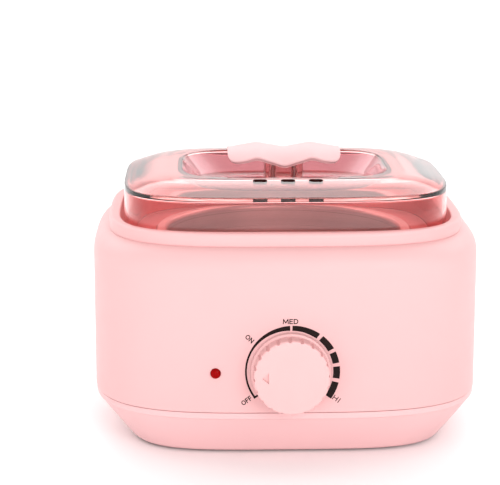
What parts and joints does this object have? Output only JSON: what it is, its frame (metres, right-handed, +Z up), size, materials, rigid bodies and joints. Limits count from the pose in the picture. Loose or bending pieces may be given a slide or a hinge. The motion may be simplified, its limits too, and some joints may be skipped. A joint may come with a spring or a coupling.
{
  "type": "wax warmer pot",
  "caption": "Countertop wax warmer with a rounded box body, tapered base, dial thermostat, lift-out pot in a heated well, and lift-off tinted lid with a wavy handle.",
  "frame": {"origin": "on the floor, under the middle of the body's outline", "axes": "+Z up, -Y out of the front wall that carries the dial, +X to the viewer's right"},
  "size_m": [0.195, 0.2404, 0.1425],
  "materials": {
    "pink_shell": "satin moulded pale pink plastic",
    "pink_knob": "satin moulded pale pink plastic",
    "pink_handle": "satin moulded pale pink plastic",
    "tinted_lid": "clear rose-tinted plastic",
    "foot_rubber": "matte",
    "screw_steel": "zinc plated",
    "sheet_steel": "plated sheet",
    "well_aluminium": "spun",
    "pot_aluminium": "spun, polished rim",
    "sheet_aluminium": "mill finish",
    "silicone": "soft translucent",
    "mica_band": "mica and steel strip",
    "thermostat_plastic": "phenolic",
    "brass_tabs": "plain",
    "copper_pad": "copper",
    "fuse_ceramic": "glazed",
    "red_lens": "clear red",
    "white_plastic": "nylon",
    "neon_glass": "clear",
    "wire_insulation": "silicone sleeve",
    "cord_plastic": "soft PVC",
    "tie_fabric": "hook and loop tape"
  },
  "bodies": {
    "root": {"upper_housing": "pink_shell", "base_shell": "pink_shell", "rubber_feet": "foot_rubber", "base_screws": "screw_steel", "heating_well": "well_aluminium", "bowl_gasket": "silicone", "heater_band": "mica_band", "band_screws": "screw_steel", "band_nuts": "screw_steel", "heat_shield": "sheet_aluminium", "stud_spacer": "screw_steel", "well_bracket": "sheet_steel", "bracket_screws": "screw_steel", "well_nut": "screw_steel", "thermostat_body": "thermostat_plastic", "blade_terminals": "brass_tabs", "sensor_pad": "copper_pad", "bush_nut": "screw_steel", "thermal_fuse": "fuse_ceramic", "fuse_clip": "sheet_steel", "indicator_lens": "red_lens", "lamp_holder": "white_plastic", "indicator_lamp": "neon_glass", "terminal_block": "white_plastic", "terminal_screws": "screw_steel", "internal_wires": "wire_insulation", "strain_relief": "cord_plastic", "power_cord": "cord_plastic", "cord_tie": "tie_fabric", "mains_plug": "cord_plastic", "plug_blades": "brass_tabs"},
    "pot": {"wax_pot": "pot_aluminium"},
    "lid": {"lid": "tinted_lid", "lid_handle": "pink_handle", "handle_screws": "screw_steel"},
    "knob": {"control_knob": "pink_knob", "knob_spring": "sheet_steel", "thermostat_spindle": "sheet_steel"}
  },
  "joints": [
    {"name": "dial_turn", "type": "hinge", "parent": "root", "child": "knob", "pos_m": [0, -0.0871, 0.04515], "axis": [0, 1, 0], "range_deg": [-34, 214]},
    {"name": "pot_lift", "type": "slide", "parent": "root", "child": "pot", "axis": [0, 0, 1], "range_m": [0, 0.075]},
    {"name": "lid_lift", "type": "slide", "parent": "pot", "child": "lid", "axis": [0, 0, 1], "range_m": [0, 0.05]}
  ]
}
